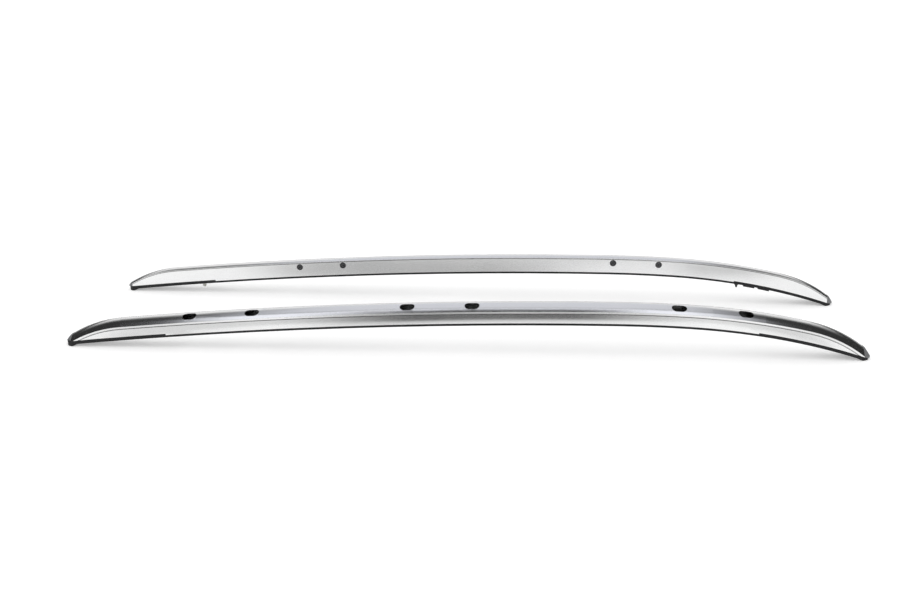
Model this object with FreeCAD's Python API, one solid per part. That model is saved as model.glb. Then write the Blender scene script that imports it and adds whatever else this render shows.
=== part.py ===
import FreeCAD, Part
import math
import os
from collections import namedtuple
from FreeCAD import Vector

# Pair of flush roof side rails, in millimetres.
# X runs along the rails with the front at +X, Y across the roof, Z up.
# The origin lies on the ground, midway between the rails and between their tips.
# Each rail is a stretch-bent extrusion that follows the roof, closed by a cap at each tip,
# and it stands on the rubber pads at its two ends.
# A section is drawn with v across the rail, from the outer side at -v to the inner side at +v,
# and w up from the roof line. A station is the X at which the roof line is crossed.

# Whole pair, with each rail turned in a little towards the front as the roof narrows
rail_length = 1800.0
rail_spacing = 376.0
toe_in = 0.65

# Roof line, tangent arcs from the crest towards each tip. A length is measured from its tip.
crest_x = 350.0
crest_z = 71.0
rear_radius = 11500.0
front_radius = 3170.0
shoulder_length = 392.0
shoulder_radius = 1650.0
nose_length = 236.0
nose_radius = 1380.0

# The rail bends down more tightly than the roof near its tips
rear_drop_length = 137.0
rear_drop_radius = 250.0
front_drop_length = 140.0
front_drop_radius = 262.0

# Extruded section
half_width = 22.0
wall = 2.5
outer_wall_hollow = 0.7
crease_height = 25.8
crease_depth = 1.7
crease_size = 2.2
rim_height = 32.0
rim_edge = 0.4
crest_height = 44.5
crest_offset = 8.0
inner_shoulder_height = 41.0
shoulder_line_height = 40.3
shoulder_line_size = 2.0
shoulder_line_depth = 1.4
lip_thickness = 2.0
slot_centre = -5.0
slot_width = 24.0

# Seal, pads and clearances
seal_height = 5.0
rear_pad_height = 8.0
front_pad_height = 7.2
seat_gap = 0.3
seal_web = 2.6
seal_rim = 7.0
rear_pad_length = 240.0
front_pad_length = 245.0
pad_inset = 3.0
pad_corner = 18.0
pad_floor = 4.2
pad_rim = 6.0
pad_lip_height = 4.0
pad_lip_thickness = 2.2
pad_rib_pitch = 34.0
pad_rib_thickness = 4.0
pad_heel = 42.0
pad_lip_end = 92.0
pad_block_depth = 3.0
pad_block_insets = (220.0, 184.0)
pad_block_length = 27.0
pad_block_width = 10.0
heel_length = 32.0
heel_slope_length = 14.0

# End caps
cap_length = 15.0
cap_seam = 0.25
cap_plan_radius = 16.0
cap_nose_radius = 8.0
cap_nose_height = 7.0
cap_nose_slope = 58.0
spigot_length = 28.0
spigot_wall = 2.0
spigot_gap = 0.35
cap_screw_inset = 30.0
cap_screw_offset = -4.0
cap_screw_head_radius = 3.6
cap_screw_head_height = 2.4
cap_screw_radius = 1.9
cap_screw_length = 11.0
cap_screw_recess = 4.0
cap_screw_boss_radius = 5.0
cap_screw_crown_radius = 2.6
cap_screw_gap = 0.1
cap_screw_point = 1.5
cap_blank = 80.0

# Mounting feet, two bolts each below a pair of access holes
rear_foot_inset = 365.0
centre_foot_x = -40.0
front_foot_inset = 344.0
bolt_spacing = 144.0
bolt_radius = 4.2
bolt_offset = -5.0
foot_end = 20.0
foot_flange = 4.5
foot_neck_gap = 0.4
foot_side_gap = 0.6
foot_rise = 0.5
foot_boss_radius = 9.6
foot_boss_height = 17.5
foot_rib_height = 4.5
foot_rib_thickness = 2.4
foot_pocket_length = 26.0
foot_pocket_gap = 6.0
foot_pocket_depth = 7.0
spacer_radius = 9.0
spacer_bore_radius = 5.0
spacer_height = 2.6
spacer_relief = 0.5

# Access holes in the crown
access_length = 33.0
access_width = 21.0
access_offset = -7.0
access_depth = 9.0

# Crossbar fixing points in the inner wall
rear_crossbar_inset = 520.0
front_crossbar_inset = 486.0
crossbar_spacing = 112.0
crossbar_height = 29.5
crossbar_head_radius = 7.75
crossbar_head_height = 3.6
crossbar_head_gap = 0.35
crossbar_head_recess = 0.5
crossbar_head_chamfer = 0.6
crossbar_socket = 6.0
crossbar_socket_depth = 2.2
crossbar_shank_radius = 4.0
crossbar_shank_length = 13.0
crossbar_thread_gap = 0.15
crossbar_plate_end = 19.0
crossbar_plate_low = 19.5
crossbar_plate_high = 38.6
crossbar_plate_thickness = 7.0

# Locating pegs under the inner side
front_peg_inset = 236.0
rear_clip_inset = 206.0
peg_offset = 11.0
peg_flange_radius = 6.5
peg_flange_height = 1.6
peg_radius = 4.2
peg_tip_radius = 2.0
peg_length = 8.0
peg_stem_radius = 2.6
peg_stem_gap = 0.3
clip_barb_radius = 4.6
clip_barb_count = 3
clip_barb_rise = 0.7
clip_barb_back = 0.9
clip_point = 1.0

# Worked out from the sizes above
half_length = rail_length / 2
shoulder_x = half_length - shoulder_length
nose_x = half_length - nose_length
rear_drop_x = -half_length + rear_drop_length
front_drop_x = half_length - front_drop_length
rear_pad_x = -half_length + rear_pad_length
front_pad_x = half_length - front_pad_length
pad_block_stations = [half_length - inset for inset in pad_block_insets]
foot_centres = {
    "rear": -half_length + rear_foot_inset,
    "centre": centre_foot_x,
    "front": half_length - front_foot_inset,
}
crossbar_centres = {
    "rear": -half_length + rear_crossbar_inset,
    "front": half_length - front_crossbar_inset,
}
front_peg_x = half_length - front_peg_inset
rear_clip_x = -half_length + rear_clip_inset
seam_x = half_length - cap_length
slot_outer = slot_centre - slot_width / 2
slot_inner = slot_centre + slot_width / 2
y_axis = Vector(0, 1, 0)
z_axis = Vector(0, 0, 1)
reach = 4 * half_width
over = 1.0
near = 0.01
steepest = math.pi / 3

Bend = namedtuple("Bend", "x z radius start end")


# Lines that the sections follow

def bend_on(normal_x, normal_z, angle, radius):
    """Centre of an arc of this radius that is tangent at a point with this normal angle."""
    return normal_x - radius * math.sin(angle), normal_z - radius * math.cos(angle)


def next_bend(before, at_x, radius):
    """End the arc before at at_x and start a tangent one there."""
    angle = math.asin((at_x - before.x) / before.radius)
    point_x = before.x + before.radius * math.sin(angle)
    point_z = before.z + before.radius * math.cos(angle)
    x, z = bend_on(point_x, point_z, angle, radius)
    return before._replace(end=angle), Bend(x, z, radius, angle, steepest)


def roof_line():
    """Tangent arcs of the roof from the rear tip to the front tip."""
    rear = Bend(crest_x, crest_z - rear_radius, rear_radius, -steepest, 0.0)
    front = Bend(crest_x, crest_z - front_radius, front_radius, 0.0, steepest)
    front, shoulder = next_bend(front, shoulder_x, shoulder_radius)
    shoulder, nose = next_bend(shoulder, nose_x, nose_radius)
    return [rear, front, shoulder, nose]


def rail_line():
    """The roof line with tighter arcs at both ends, which bring the crown down to the roof."""
    rear, front, shoulder, nose = roof_line()
    nose, front_drop = next_bend(nose, front_drop_x, front_drop_radius)
    angle = math.asin((rear_drop_x - rear.x) / rear.radius)
    point_x = rear.x + rear.radius * math.sin(angle)
    point_z = rear.z + rear.radius * math.cos(angle)
    x, z = bend_on(point_x, point_z, angle, rear_drop_radius)
    rear_drop = Bend(x, z, rear_drop_radius, -steepest, angle)
    return [rear_drop, rear._replace(start=angle), front, shoulder, nose, front_drop]


def station(line, x, w=0.0):
    """The arc and normal angle at which a point w above the line lies at this x."""
    for bend in line:
        ratio = (x - bend.x) / (bend.radius + w)
        if abs(ratio) < 1 and bend.start - 1e-9 <= math.asin(ratio) <= bend.end + 1e-9:
            return bend, math.asin(ratio)
    raise ValueError("no station at %.1f" % x)


def height(line, x, w=0.0):
    """Z of the point w above the line at this x."""
    bend, angle = station(line, x, w)
    return bend.z + (bend.radius + w) * math.cos(angle)


def place(shape, line, x, w=0.0):
    """Move a shape drawn about a section's origin to the station of the point w above x."""
    bend, angle = station(line, x, w)
    centre = Vector(bend.x, 0, bend.z)
    placed = shape.copy()
    placed.translate(centre + Vector(0, 0, bend.radius))
    placed.rotate(centre, y_axis, math.degrees(angle))
    return placed


def sweep(face, line, x_from, x_to):
    """Revolve a section along each arc of the line between two stations."""
    first, low = station(line, x_from)
    last, high = station(line, x_to)
    lengths = []
    for bend in line[line.index(first):line.index(last) + 1]:
        start = max(low, bend.start)
        end = min(high, bend.end)
        centre = Vector(bend.x, 0, bend.z)
        drawn = face.copy()
        drawn.translate(centre + Vector(0, 0, bend.radius))
        drawn.rotate(centre, y_axis, math.degrees(start))
        lengths.append(drawn.revolve(centre, y_axis, math.degrees(end - start)))
    return merge(lengths)


# Small shape helpers

def merge(shapes):
    """One solid without inner seams."""
    if len(shapes) == 1:
        return shapes[0]
    return shapes[0].fuse(shapes[1:]).removeSplitter()


def section(points):
    """Face in the section plane. A plain corner is (v, w), an arc end is (v, w, mid_v, mid_w)."""
    edges = []
    for here, there in zip(points, points[1:] + points[:1]):
        start = Vector(0, here[0], here[1])
        end = Vector(0, there[0], there[1])
        if len(there) == 4:
            edges.append(Part.Arc(start, Vector(0, there[2], there[3]), end).toShape())
        else:
            edges.append(Part.makeLine(start, end))
    return Part.Face(Part.Wire(edges))


def band(v_from, v_to, w_from, w_to):
    """Rectangular section."""
    return section([(v_from, w_from), (v_to, w_from), (v_to, w_to), (v_from, w_to)])


def block(x_from, x_to, y_from, y_to, z_from, z_to):
    """Box between two corners."""
    size = Vector(x_to - x_from, y_to - y_from, z_to - z_from)
    return Part.makeBox(size.x, size.y, size.z, Vector(x_from, y_from, z_from))


def prism(points, half):
    """Solid across the rail from (x, z) corners, half as wide to each side."""
    corners = [Vector(x, -half, z) for x, z in points]
    face = Part.Face(Part.makePolygon(corners + corners[:1]))
    return face.extrude(Vector(0, 2 * half, 0))


def post(radius, x, y, z_from, z_to):
    """Upright cylinder."""
    return Part.makeCylinder(radius, z_to - z_from, Vector(x, y, z_from))


def turned(points, x, y, z):
    """Solid of revolution about an upright axis, from (radius, height) corners."""
    corners = [Vector(r, 0, h) for r, h in points]
    wire = Part.makePolygon(corners + corners[:1])
    body = Part.Face(wire).revolve(Vector(0, 0, 0), z_axis, 360)
    body.translate(Vector(x, y, z))
    return body


def arc_middle(centre_v, centre_w, radius, angle):
    """Point of an arc at an angle from straight up, towards the outer side."""
    return centre_v - radius * math.sin(angle), centre_w + radius * math.cos(angle)


# Section of the extrusion

def crown_arc():
    """Radius and sweep of the crown from the rim to the crest."""
    run = crest_offset + half_width - rim_edge
    rise = crest_height - rim_height - rim_edge
    angle = 2 * math.atan2(rise, run)
    return run / math.sin(angle), angle


def shoulder_arc():
    """Radius and sweep of the turn from the crest to the inner wall."""
    run = half_width - crest_offset
    rise = crest_height - inner_shoulder_height
    angle = 2 * math.atan2(rise, run)
    return run / math.sin(angle), angle


def crown_height(v, inset=0.0):
    """Height of the crown over v, or of its inner face with an inset."""
    radius, _ = crown_arc() if v < crest_offset else shoulder_arc()
    return crest_height - radius + math.sqrt((radius - inset) ** 2 - (v - crest_offset) ** 2)


def outline(bottom, inset=0.0):
    """Corners of the rail's outer form over the crown, from the outer to the inner wall foot."""
    radius, angle = crown_arc()
    bend, turn = shoulder_arc()
    outer = -half_width + rim_edge + inset
    inner = half_width - inset
    rail_crown = (crest_offset, crest_height - radius, radius - inset)
    rail_shoulder = (crest_offset, crest_height - bend, bend - inset)
    left = crown_height(outer, inset)
    right = crown_height(inner, inset)
    return [
        (outer, bottom),
        (outer, left),
        (crest_offset, crest_height - inset) + arc_middle(*rail_crown, angle / 2),
        (inner, right) + arc_middle(*rail_shoulder, -turn / 2),
        (inner, bottom),
    ]


def rail_section():
    """Open channel: hollowed outer wall, crease, rim, crown, shoulder line and lips."""
    radius, angle = crown_arc()
    bend, turn = shoulder_arc()
    foot = seal_height
    lip_top = seal_height + lip_thickness
    crease_top = crease_height + crease_size
    hollow_mid = (foot + crease_height) / 2
    inside_outer = -half_width + wall + outer_wall_hollow
    inside_inner = half_width - wall
    line_top = shoulder_line_height
    line_low = shoulder_line_height - shoulder_line_size
    line_back = half_width - shoulder_line_depth
    crown = (crest_offset, crest_height - radius)
    round_off = (crest_offset, crest_height - bend)
    return section([
        (-half_width, foot),
        (-half_width, crease_height, -half_width + outer_wall_hollow, hollow_mid),
        (-half_width + crease_depth, crease_height),
        (-half_width + crease_depth, crease_top),
        (-half_width, crease_top),
        (-half_width, rim_height),
        (-half_width + rim_edge, rim_height + rim_edge),
        (crest_offset, crest_height) + arc_middle(*crown, radius, angle / 2),
        (half_width, inner_shoulder_height) + arc_middle(*round_off, bend, -turn / 2),
        (half_width, line_top),
        (line_back, line_top),
        (line_back, line_low),
        (half_width, line_low),
        (half_width, foot),
        (slot_inner, foot),
        (slot_inner, lip_top),
        (inside_inner, lip_top),
        (inside_inner, crown_height(inside_inner, wall)),
        (crest_offset, crest_height - wall) + arc_middle(*round_off, bend - wall, -turn / 3),
        (inside_outer, crown_height(inside_outer, wall)) + arc_middle(*crown, radius - wall, angle / 2),
        (inside_outer, lip_top),
        (slot_outer, lip_top),
        (slot_outer, foot),
    ])


# Rail

def bolt_stations(place_name):
    """X of the two bolts of a mounting foot."""
    centre = foot_centres[place_name]
    return centre - bolt_spacing / 2, centre + bolt_spacing / 2


def crossbar_stations(place_name):
    """X of the two screws of a crossbar fixing point."""
    centre = crossbar_centres[place_name]
    return centre - crossbar_spacing / 2, centre + crossbar_spacing / 2


def access_hole(x):
    """Obround cutter square to the crown, over a bolt."""
    radius = access_width / 2
    straight = access_length - access_width
    start = -access_depth
    depth = 2 * access_depth
    cutter = Part.makeBox(straight, access_width, depth, Vector(-straight / 2, -radius, start))
    for side in (-1, 1):
        end = Part.makeCylinder(radius, depth, Vector(side * straight / 2, 0, start))
        cutter = cutter.fuse(end)
    crown_radius, _ = crown_arc()
    slope = math.asin((crest_offset - access_offset) / crown_radius)
    top = crown_height(access_offset)
    cutter.rotate(Vector(0, 0, 0), Vector(1, 0, 0), math.degrees(slope))
    cutter.translate(Vector(0, access_offset, top))
    return place(cutter.removeSplitter(), rail_line(), x, top)


def crossbar_axis_point(x):
    """Point on the inner wall's face at a crossbar screw."""
    return Vector(x, half_width, height(rail_line(), x, crossbar_height))


def crossbar_bore(x, radius, v_from, v_to):
    """Cylinder along the axis of a crossbar screw, between two depths."""
    at = crossbar_axis_point(x)
    return Part.makeCylinder(radius, v_to - v_from, Vector(at.x, v_from, at.z), y_axis)


def rail_lengths():
    """X of the planes that divide the extrusion: its ends, each foot and each crossbar point."""
    cuts = list(foot_centres.values()) + list(crossbar_centres.values())
    for here, there in ((foot_centres["centre"], crossbar_centres["rear"]),
                        (foot_centres["centre"], crossbar_centres["front"])):
        cuts.append((here + there) / 2)
    return [-half_length] + sorted(cuts) + [half_length]


def rail():
    """The stretch-bent extrusion, trimmed to the roof and pierced, in lengths that butt together."""
    body = sweep(rail_section(), rail_line(), -half_length + over, half_length - over)
    body = body.common(block(-seam_x, seam_x, -reach, reach, -reach, 2 * reach))
    cuts = []
    for side in (-1, 1):
        cuts.append(sweep(band(-reach, reach, -reach, pad_top(side)), roof_line(), *roof_end(side)))
    for name in foot_centres:
        cuts += [access_hole(x) for x in bolt_stations(name)]
    for name in crossbar_centres:
        for x in crossbar_stations(name):
            hole = crossbar_head_radius + crossbar_head_gap
            cuts.append(crossbar_bore(x, hole, half_width - 2 * wall, half_width + wall))
    whole = largest(body.cut(cuts))
    ends = rail_lengths()
    lengths = []
    for start, end in zip(ends, ends[1:]):
        lengths.append(largest(whole.common(block(start, end, -reach, reach, -reach, 2 * reach))))
    return Part.makeCompound(lengths)


def largest(shape):
    """The biggest solid of a shape, which drops slivers beyond a trim."""
    return max(shape.Solids, key=lambda solid: solid.Volume)


# End caps

def cap_screw_foot(side):
    """Point on the roof line below a cap screw."""
    x = side * (half_length - cap_screw_inset)
    return Vector(x, cap_screw_offset, height(roof_line(), x))


def rounded_plan(x_tip, side, radius, half):
    """Upright prism whose corners towards the tip are rounded."""
    inner = x_tip - side * reach
    shape = block(min(x_tip, inner), max(x_tip, inner), -half, half, -reach, 2 * reach)
    edges = [e for e in shape.Edges if is_upright(e) and abs(e.Vertexes[0].X - x_tip) < near]
    return shape.makeFillet(radius, edges)


def is_upright(edge):
    """True for an edge along Z."""
    first, second = [v.Point for v in edge.Vertexes]
    return abs(first.x - second.x) + abs(first.y - second.y) < near


def nose_profile(side):
    """Prism across the rail that slopes down to a rounded corner at the tip."""
    tip = side * half_length
    inner = side * (half_length - cap_blank)
    run = (reach - cap_nose_height) / math.tan(math.radians(cap_nose_slope))
    shape = prism([
        (inner, -reach),
        (tip, -reach),
        (tip, cap_nose_height),
        (tip - side * run, reach),
        (inner, reach),
    ], reach)
    corner = Vector(tip, 0, cap_nose_height)
    edges = [e for e in shape.Edges if is_across(e) and abs(e.CenterOfMass.sub(corner).Length) < near]
    return shape.makeFillet(cap_nose_radius, edges)


def is_across(edge):
    """True for an edge along Y."""
    first, second = [v.Point for v in edge.Vertexes]
    return abs(first.x - second.x) + abs(first.z - second.z) < near


def end_cap(side):
    """Moulded cap that carries the rail's form on over the tip, with a hollow spigot behind."""
    line = rail_line()
    ends = sorted((side * (half_length - cap_blank), side * (half_length - over)))
    solid = sweep(section(outline(-reach)), line, *ends)
    seam = side * (seam_x + cap_seam)
    tip = side * half_length
    shell = solid.common(block(min(seam, tip), max(seam, tip), -reach, reach, 0, 2 * reach))
    shell = shell.common(rounded_plan(tip, side, cap_plan_radius, half_width))
    shell = shell.common(nose_profile(side))
    gap = wall + outer_wall_hollow + spigot_gap
    plug = sweep(section(outline(-reach, gap)), line, *ends)
    hollow = sweep(section(outline(-reach, gap + spigot_wall)), line, *ends)
    back = side * (seam_x - spigot_length)
    plug = plug.common(block(min(back, seam), max(back, seam), -reach, reach, 0, 2 * reach))
    foot = cap_screw_foot(side)
    boss = post(cap_screw_boss_radius, foot.x, foot.y, 0, 2 * reach).common(plug)
    cap = shell.fuse([plug.cut(hollow), boss]).removeSplitter()
    ground = sweep(band(-reach, reach, -reach, pad_top(side) + seat_gap), roof_line(), *roof_end(side))
    pilot = post(cap_screw_radius, foot.x, foot.y, foot.z, foot.z + cap_screw_recess + cap_screw_length)
    return largest(cap.cut([ground, pilot]))


def pad_top(side):
    """Height of the pad at this end, on which rail and cap stand."""
    return front_pad_height if side > 0 else rear_pad_height


def roof_end(side):
    """Stations of the roof line from the pad's inner end to beyond the tip."""
    inner = front_pad_x if side > 0 else rear_pad_x
    return tuple(sorted((inner, side * (half_length + 2 * over))))


def cap_screw(side):
    """Pan-head screw that holds a cap to its pad from below."""
    foot = cap_screw_foot(side)
    head_low = cap_screw_recess - cap_screw_head_height
    shank = cap_screw_radius - cap_screw_gap
    tip = cap_screw_recess + cap_screw_length - over
    return turned([
        (0, head_low),
        (cap_screw_crown_radius, head_low),
        (cap_screw_head_radius, head_low + cap_screw_head_height / 2),
        (cap_screw_head_radius, cap_screw_recess - seat_gap),
        (shank, cap_screw_recess - seat_gap),
        (shank, tip - cap_screw_point),
        (0, tip),
    ], foot.x, foot.y, foot.z)


# Seal and pads

def foot_span(place_name):
    """Stations of the ends of a mounting foot."""
    first, second = bolt_stations(place_name)
    return first - foot_end, second + foot_end


def base_seal():
    """Rubber seal under the rail's lips, hollow below, open where the feet pass."""
    top = seal_height - seat_gap / 2
    strip = sweep(band(-half_width, half_width, 0, top), roof_line(),
                  rear_pad_x + seat_gap, front_pad_x - seat_gap)
    hollow = band(-half_width + seal_rim, half_width - seal_rim, -seal_height, top - seal_web)
    cuts = [sweep(hollow, roof_line(), rear_pad_x - over, front_pad_x + over)]
    for name in foot_centres:
        low, high = foot_span(name)
        passage = band(slot_outer, slot_inner, -seal_height, 2 * seal_height)
        cuts.append(sweep(passage, roof_line(), low - seat_gap, high + seat_gap))
    return largest(strip.cut(cuts))


def foot_pad(side):
    """Rubber pad under an end of the rail, ribbed below, with lips that enter the channel."""
    tip = side * (half_length - pad_inset)
    inner = front_pad_x if side > 0 else rear_pad_x
    height_here = pad_top(side)
    top = height_here - seat_gap / 2
    pad = sweep(band(-half_width, half_width, 0, top), roof_line(), *roof_end(side))
    pad = pad.common(rounded_plan(tip, side, pad_corner, half_width).fuse(
        block(*sorted((0, tip - side * half_width)), -half_width, half_width, -reach, 2 * reach)))
    lips = []
    lip_ends = sorted((inner, side * (half_length - pad_lip_end)))
    inside = half_width - wall - outer_wall_hollow - spigot_gap
    for edge in (-inside, inside - pad_lip_thickness):
        lip = band(edge, edge + pad_lip_thickness, 0, height_here + pad_lip_height)
        lips.append(sweep(lip, roof_line(), *lip_ends))
    hollow_ends = sorted((inner + side * pad_rim, side * (half_length - pad_heel)))
    hollow = sweep(band(-half_width + pad_rim, half_width - pad_rim, -height_here, pad_floor),
                   roof_line(), *hollow_ends)
    count = int((hollow_ends[1] - hollow_ends[0]) / pad_rib_pitch)
    ribs = []
    for number in range(1, count + 1):
        x = hollow_ends[0] + number * pad_rib_pitch
        if x + pad_rib_thickness < hollow_ends[1]:
            rib = band(-half_width + pad_rim, half_width - pad_rim, 0, pad_floor)
            ribs.append(sweep(rib, roof_line(), x, x + pad_rib_thickness))
    pad = pad.fuse(lips + [heel(side, tip)]).cut(hollow).fuse(ribs + pad_blocks(side))
    ground = block(-half_length, half_length, -reach, reach, -reach, 0)
    return largest(pad.cut([ground] + pad_holes(side)).removeSplitter())


def heel(side, tip):
    """Thicker end of a pad, which slopes down to the ground."""
    start = side * (half_length - heel_length)
    roof = height(roof_line(), start)
    top = roof + pad_top(side) / 2
    foot = start + side * heel_slope_length
    wedge = prism([(start, roof), (foot, 0), (tip, 0), (tip, top), (start, top)], half_width)
    under = band(-half_width, half_width, -reach, pad_top(side) / 2)
    limit = sweep(under, roof_line(), *roof_end(side))
    return wedge.common(limit).common(rounded_plan(tip, side, pad_corner, half_width))


def pad_blocks(side):
    """Two blocks under the inner edge of the front pad."""
    blocks = []
    if side > 0:
        for x in pad_block_stations:
            face = band(half_width - pad_block_width, half_width, -pad_block_depth, pad_top(side) / 2)
            blocks.append(sweep(face, roof_line(), x, x + pad_block_length))
    return blocks


def pad_holes(side):
    """Counterbored hole for the cap screw and hole for the locating peg's stem."""
    foot = cap_screw_foot(side)
    recess = post(cap_screw_head_radius + 2 * seat_gap, foot.x, foot.y, foot.z - reach,
                  foot.z + cap_screw_recess)
    shank = post(cap_screw_radius + seat_gap, foot.x, foot.y, foot.z, foot.z + 2 * pad_top(side))
    peg = peg_foot(side)
    stem = post(peg_stem_radius + peg_stem_gap, peg.x, peg.y, peg.z - over, peg.z + 2 * pad_top(side))
    return [recess, shank, stem]


def peg_foot(side):
    """Point on the roof line above a locating peg."""
    x = front_peg_x if side > 0 else rear_clip_x
    return Vector(x, peg_offset, height(roof_line(), x))


def front_peg():
    """Tapered locating peg under the front pad."""
    foot = peg_foot(1)
    stem_top = front_pad_height + pad_lip_height / 2
    low = -peg_flange_height - seat_gap - pad_slope_gap(front_peg_x)
    return turned([
        (0, low - peg_length),
        (peg_tip_radius, low - peg_length),
        (peg_radius, low),
        (peg_flange_radius, low),
        (peg_flange_radius, low + peg_flange_height),
        (peg_stem_radius, low + peg_flange_height),
        (peg_stem_radius, stem_top),
        (0, stem_top),
    ], foot.x, foot.y, foot.z)


def pad_slope_gap(x):
    """Room between a level flange and the sloping pad above it."""
    _, angle = station(roof_line(), x)
    return abs(math.tan(angle)) * peg_flange_radius


def rear_clip():
    """Barbed clip under the rear pad."""
    foot = peg_foot(-1)
    stem_top = rear_pad_height + pad_lip_height / 2
    low = -peg_flange_height - seat_gap - pad_slope_gap(rear_clip_x)
    pitch = (peg_length - clip_point) / clip_barb_count
    points = [(0, low - peg_length), (peg_tip_radius, low - peg_length)]
    for number in range(clip_barb_count):
        root = low - peg_length + clip_point + number * pitch
        points.append((clip_barb_radius, root + pitch * clip_barb_rise))
        points.append((peg_stem_radius, root + pitch * clip_barb_back))
    points += [
        (peg_stem_radius, low),
        (peg_flange_radius, low),
        (peg_flange_radius, low + peg_flange_height),
        (peg_stem_radius, low + peg_flange_height),
        (peg_stem_radius, stem_top),
        (0, stem_top),
    ]
    return turned(points, foot.x, foot.y, foot.z)


# Mounting feet

def mounting_foot(place_name):
    """Cast foot: a neck between the rail's lips, a flange over them, ribs and level bolt bosses."""
    line = roof_line()
    low, high = foot_span(place_name)
    neck = band(slot_outer + foot_neck_gap, slot_inner - foot_neck_gap, foot_rise,
                seal_height + lip_thickness + foot_flange)
    flange_low = seal_height + lip_thickness + seat_gap
    flange_top = flange_low + foot_flange
    flange_outer = -half_width + wall + outer_wall_hollow + foot_side_gap
    flange_inner = half_width - wall - foot_side_gap
    flange = band(flange_outer, flange_inner, flange_low, flange_top)
    parts = [sweep(neck, line, low, high), sweep(flange, line, low, high)]
    for edge in (flange_outer, flange_inner - foot_rib_thickness):
        rib = band(edge, edge + foot_rib_thickness, flange_low, flange_top + foot_rib_height)
        parts.append(sweep(rib, line, low, high))
    cuts = []
    for x in bolt_stations(place_name):
        roof = height(line, x)
        parts.append(post(foot_boss_radius, x, bolt_offset, roof + foot_flange, roof + foot_boss_height))
        spot = spacer_radius + spacer_relief
        cuts.append(post(spot, x, bolt_offset, roof - foot_boss_height, roof + foot_rise))
        cuts.append(post(bolt_radius, x, bolt_offset, roof - over, roof + 2 * foot_boss_height))
    pocket = band(slot_outer + foot_neck_gap + foot_rib_thickness,
                  slot_inner - foot_neck_gap - foot_rib_thickness, -over, foot_pocket_depth)
    step = foot_pocket_length + foot_pocket_gap
    for number in (-1, 0, 1):
        middle = foot_centres[place_name] + number * step
        cuts.append(sweep(pocket, line, middle - foot_pocket_length / 2, middle + foot_pocket_length / 2))
    return largest(parts[0].fuse(parts[1:]).cut(cuts).removeSplitter())


def spacers(place_name):
    """Two rings under the level faces of a mounting foot."""
    rings = []
    for x in bolt_stations(place_name):
        top = height(roof_line(), x) + foot_rise - seat_gap
        ring = post(spacer_radius, x, bolt_offset, top - spacer_height, top)
        bore = post(spacer_bore_radius, x, bolt_offset, top - 2 * spacer_height, top + over)
        rings.append(ring.cut(bore))
    return Part.makeCompound(rings)


# Crossbar fixing points

def crossbar_plate(place_name):
    """Threaded plate behind the inner wall, counterbored for two screw heads."""
    first, second = crossbar_stations(place_name)
    outer = half_width - wall - seat_gap
    plate = band(outer - crossbar_plate_thickness, outer, crossbar_plate_low, crossbar_plate_high)
    body = sweep(plate, rail_line(), first - crossbar_plate_end, second + crossbar_plate_end)
    cuts = []
    head_back = half_width - crossbar_head_recess - crossbar_head_height
    for x in (first, second):
        cuts.append(crossbar_bore(x, crossbar_head_radius + crossbar_head_gap,
                                  head_back - seat_gap, half_width))
        cuts.append(crossbar_bore(x, crossbar_shank_radius + crossbar_thread_gap, 0, half_width))
    return largest(body.cut(cuts))


def crossbar_screws(place_name):
    """Two flat-headed screws with hexagon sockets, in line with the inner wall."""
    screws = []
    face = half_width - crossbar_head_recess
    for x in crossbar_stations(place_name):
        at = crossbar_axis_point(x)
        head = crossbar_bore(x, crossbar_head_radius, face - crossbar_head_height, face)
        rim = [e for e in head.Edges if e.BoundBox.YMin > face - near]
        head = head.makeChamfer(crossbar_head_chamfer, rim)
        shank = crossbar_bore(x, crossbar_shank_radius,
                              face - crossbar_head_height - crossbar_shank_length,
                              face - crossbar_head_height + over)
        corner = crossbar_socket / math.sqrt(3)
        points = []
        for number in range(7):
            turn = math.pi / 3 * number
            points.append(Vector(at.x + corner * math.cos(turn), face, at.z + corner * math.sin(turn)))
        hexagon = Part.Face(Part.makePolygon(points))
        socket = hexagon.extrude(Vector(0, -crossbar_socket_depth, 0))
        screws.append(head.fuse(shank).cut(socket).removeSplitter())
    return Part.makeCompound(screws)


# Pair

def one_rail():
    """Every piece of one rail, with its outer side towards -Y."""
    pieces = {
        "rail": rail(),
        "base_seal": base_seal(),
        "front_locating_peg": front_peg(),
        "rear_locating_clip": rear_clip(),
    }
    for name, side in (("front", 1), ("rear", -1)):
        pieces[name + "_end_cap"] = end_cap(side)
        pieces[name + "_cap_screw"] = cap_screw(side)
        pieces[name + "_foot_pad"] = foot_pad(side)
        pieces[name + "_crossbar_plate"] = crossbar_plate(name)
        pieces[name + "_crossbar_screws"] = crossbar_screws(name)
    for name in foot_centres:
        pieces[name + "_mounting_foot"] = mounting_foot(name)
        pieces[name + "_foot_spacers"] = spacers(name)
    return pieces


def build():
    """Write one file for each piece of the right rail and of its mirror image, the left rail."""
    os.makedirs("parts", exist_ok=True)
    for name, shape in one_rail().items():
        right = shape.copy()
        right.rotate(Vector(0, 0, 0), z_axis, toe_in)
        right.translate(Vector(0, -rail_spacing / 2, 0))
        left = right.mirror(Vector(0, 0, 0), y_axis)
        right.exportStep("parts/right_" + name + ".step")
        left.exportStep("parts/left_" + name + ".step")
        print(name, len(right.Solids), round(right.Volume), right.isValid(), left.isValid())


build()
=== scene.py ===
"""Finishes, floor, light and camera for a pair of flush roof side rails."""

import logging
import math
from dataclasses import dataclass
from enum import Enum
from typing import Optional, Union

import bmesh
import bpy
from mathutils import Matrix, Vector

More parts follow.
